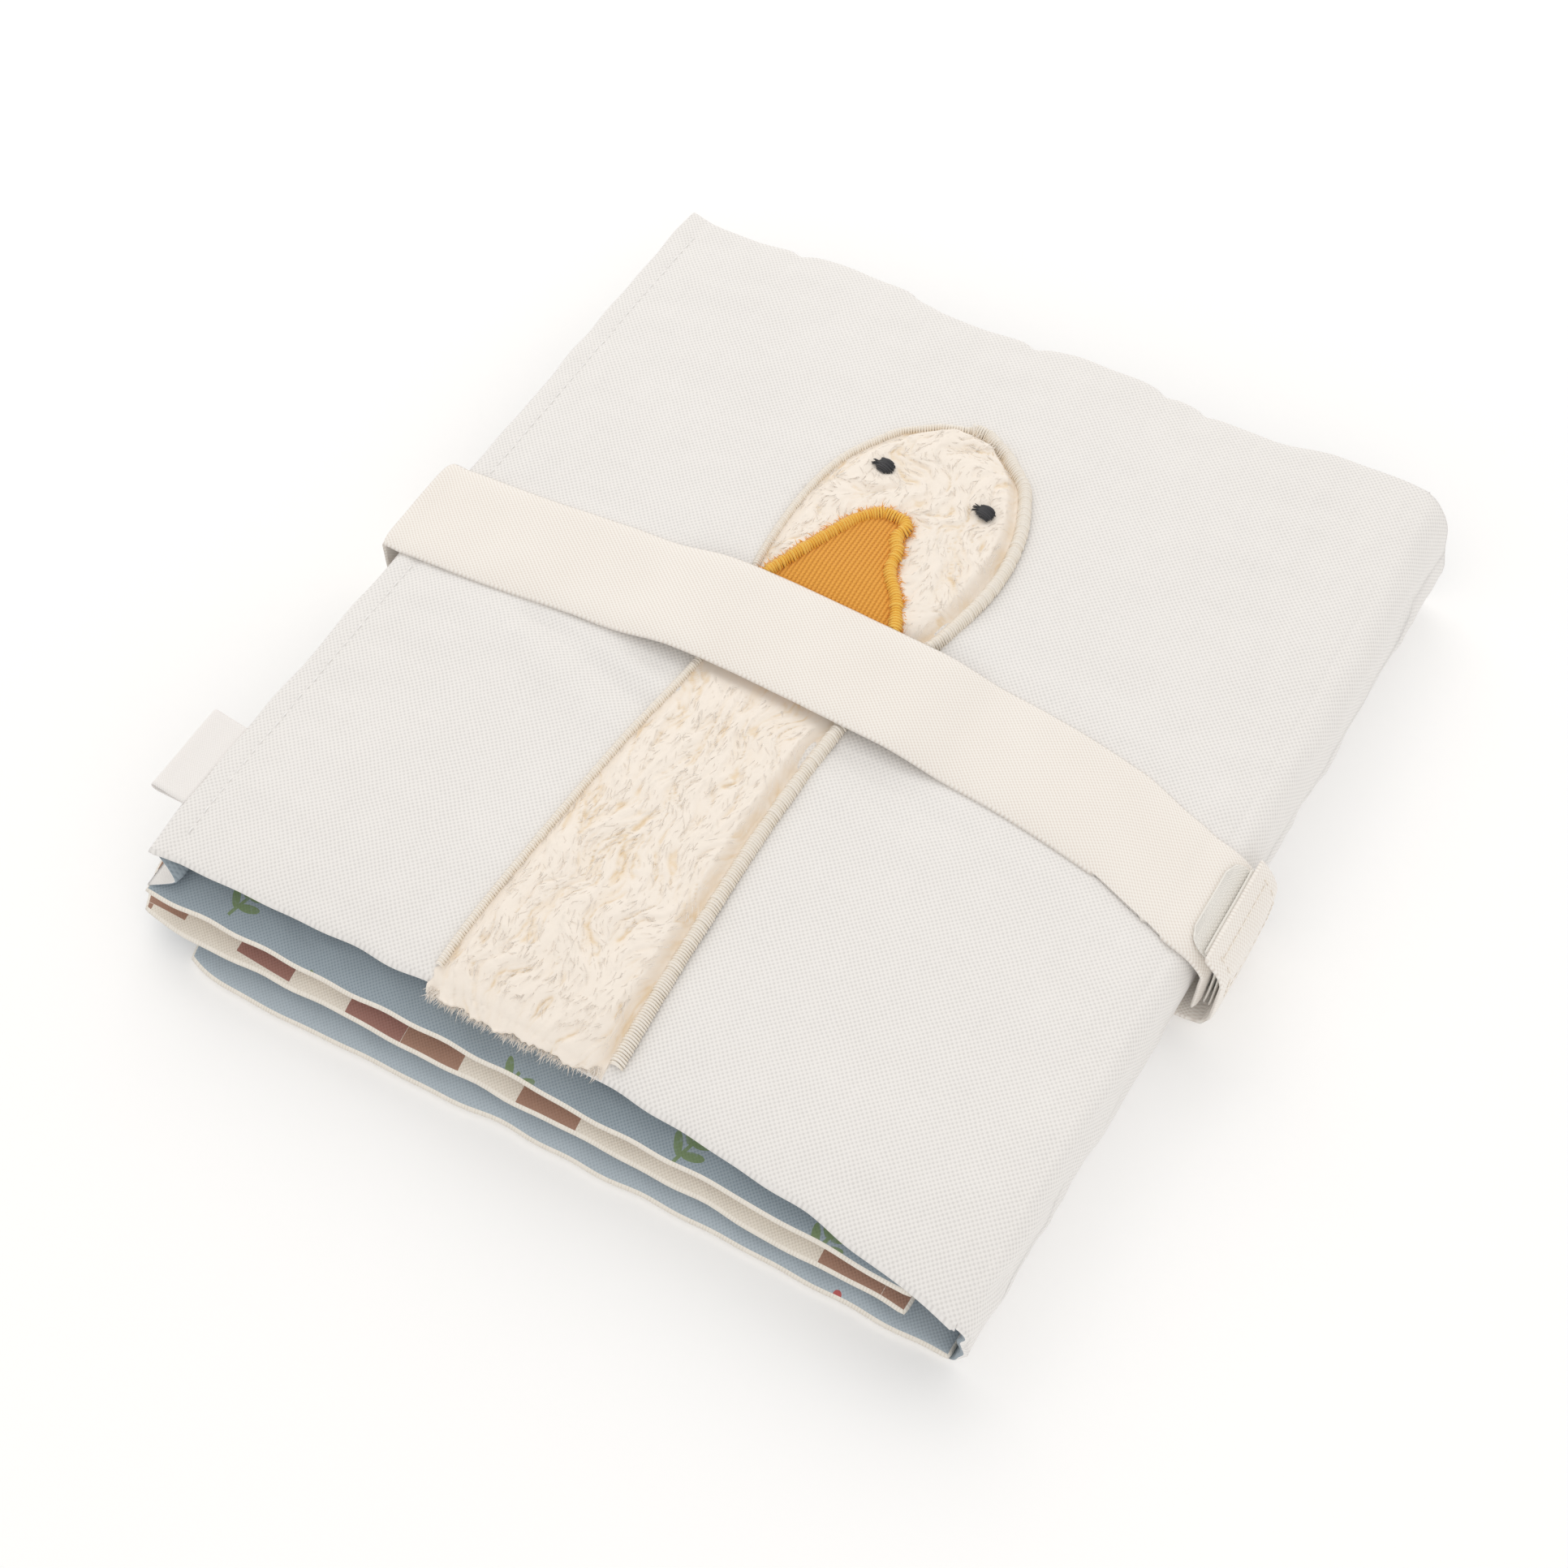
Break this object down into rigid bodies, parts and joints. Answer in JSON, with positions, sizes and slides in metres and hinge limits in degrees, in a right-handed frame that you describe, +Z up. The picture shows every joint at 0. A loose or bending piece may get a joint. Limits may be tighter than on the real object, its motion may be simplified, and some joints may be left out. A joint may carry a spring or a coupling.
{
  "type": "soft activity book",
  "caption": "Soft folded cloth book of padded leaves joined by a spine, a gusset and a fold, closed by a wrap strap with a hook and loop tab; a plush goose lies on the cover.",
  "frame": {"origin": "under the middle of the closed book's bounding box, on the surface it lies on", "axes": "+Z up through the leaves; +X from the free edges and label towards the spine; +Y from the goose's neck towards its head"},
  "size_m": [0.1995, 0.2184, 0.0312],
  "materials": {
    "canvas": "matte plain-weave cotton canvas",
    "blue_lining": "matte printed cotton",
    "page_cloth": "matte printed cotton",
    "wadding": "polyester filling",
    "plush": "curly pile",
    "cream_thread": "satin stitch",
    "orange_knit": "rib knit",
    "orange_thread": "satin stitch",
    "dark_thread": "satin stitch",
    "strap_twill": "cotton twill tape",
    "hook_tape": "translucent nylon hook tape",
    "loop_tape": "nylon loop tape",
    "label_tape": "satin tape"
  },
  "bodies": {
    "back": {"back_outer_cover": "canvas", "back_lining": "blue_lining", "back_wadding": "wadding", "strap_back": "strap_twill"},
    "spine": {"spine_outer_cover": "canvas", "spine_lining": "blue_lining"},
    "front": {"front_outer_cover": "canvas", "front_lining": "blue_lining", "front_wadding": "wadding", "goose_plush": "plush", "goose_edging": "cream_thread", "beak": "orange_knit", "beak_edging": "orange_thread", "left_eye": "dark_thread", "right_eye": "dark_thread", "gusset": "canvas", "leaf_b_page": "page_cloth", "leaf_b_lining": "blue_lining", "leaf_b_wadding": "wadding"},
    "inner_fold": {"inner_fold": "blue_lining"},
    "leaf_c": {"leaf_c_page": "page_cloth", "leaf_c_lining": "blue_lining", "leaf_c_wadding": "wadding"},
    "strap_side": {"strap_side": "strap_twill"},
    "strap_front": {"strap_front": "strap_twill", "hook_patch": "hook_tape"},
    "closing_tab": {"closing_tab": "strap_twill", "loop_patch": "loop_tape"},
    "label": {"label": "label_tape"}
  },
  "joints": [
    {"name": "cover_open", "type": "hinge", "parent": "back", "child": "spine", "pos_m": [0.0877, 0, 0.0024], "axis": [0, 1, 0], "range_deg": [0, 88]},
    {"name": "front_on_spine", "type": "hinge", "parent": "spine", "child": "front", "pos_m": [0.0877, 0, 0.02325], "axis": [0, 1, 0], "range_deg": [0, 88]},
    {"name": "fold_on_front", "type": "hinge", "parent": "front", "child": "inner_fold", "pos_m": [0.0773, 0, 0.01635], "axis": [0, 1, 0], "range_deg": [-36.96, 0]},
    {"name": "leaf_c_on_fold", "type": "hinge", "parent": "inner_fold", "child": "leaf_c", "pos_m": [0.0773, 0, 0.00975], "axis": [0, 1, 0], "range_deg": [-36.96, 0]},
    {"name": "strap_open", "type": "hinge", "parent": "back", "child": "strap_side", "pos_m": [-0.09625, 0, 0.00095], "axis": [0, -1, 0], "range_deg": [0, 88], "deforming": ["strap_side"]},
    {"name": "strap_front_on_side", "type": "hinge", "parent": "strap_side", "child": "strap_front", "pos_m": [-0.0969, 0, 0.0241], "axis": [0, -1, 0], "range_deg": [0, 88], "deforming": ["strap_front", "hook_patch"]},
    {"name": "tab_peel", "type": "hinge", "parent": "back", "child": "closing_tab", "pos_m": [0.09915, 0, 0.00095], "axis": [0, 1, 0], "range_deg": [0, 82], "deforming": ["closing_tab", "loop_patch"]},
    {"name": "label_flip", "type": "hinge", "parent": "front", "child": "label", "pos_m": [-0.0923, 0, 0.02325], "axis": [0, 1, 0], "range_deg": [-60, 75]}
  ],
  "couplings": [
    {"joint": "front_on_spine", "follows": "cover_open", "ratio": 1},
    {"joint": "fold_on_front", "follows": "cover_open", "ratio": -0.42},
    {"joint": "leaf_c_on_fold", "follows": "cover_open", "ratio": -0.42},
    {"joint": "strap_front_on_side", "follows": "strap_open", "ratio": 1}
  ]
}
